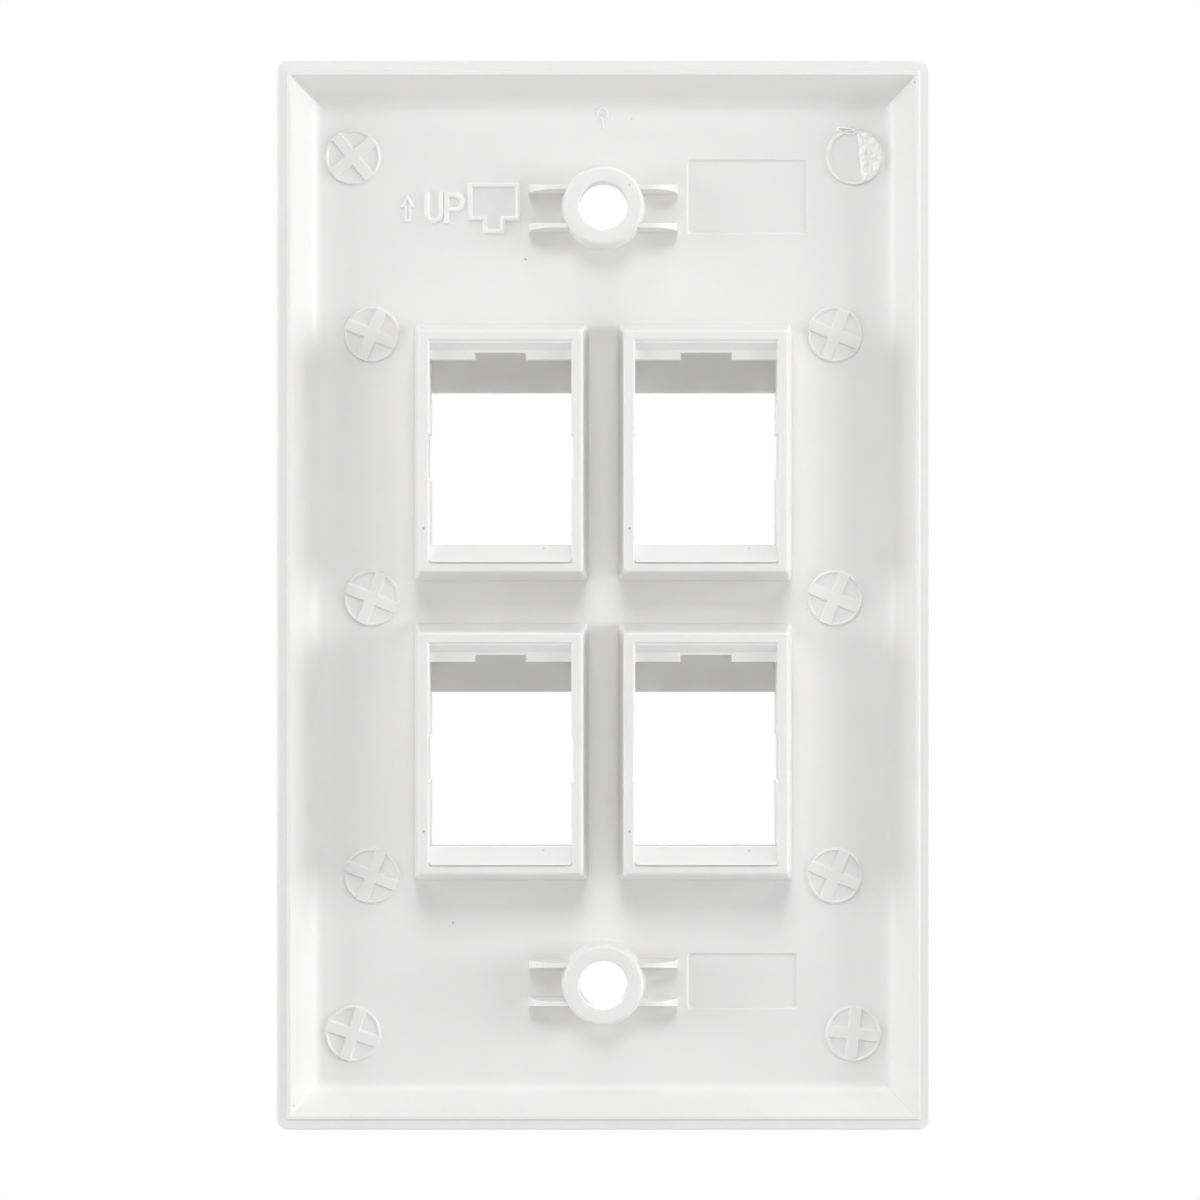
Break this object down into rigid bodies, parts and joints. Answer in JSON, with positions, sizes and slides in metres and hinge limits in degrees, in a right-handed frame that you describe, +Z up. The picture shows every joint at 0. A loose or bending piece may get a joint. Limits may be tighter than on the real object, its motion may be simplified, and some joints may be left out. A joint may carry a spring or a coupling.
{
  "type": "keystone faceplate",
  "caption": "Rectangular moulded wall plate with a dished back, screw bosses with ribs, and deep square ports with catches that hold snap-in keystone jacks.",
  "frame": {"origin": "midway between the two fixing holes, in the plane of the lip that meets the wall", "axes": "+Z up the plate as the moulded arrow points, +Y into the wall, +X to the right seen from the front"},
  "size_m": [0.0698, 0.0092, 0.1142],
  "materials": {
    "plate": "white moulded ABS, low gloss at the back"
  },
  "bodies": {
    "root": {"faceplate": "plate"}
  },
  "joints": []
}
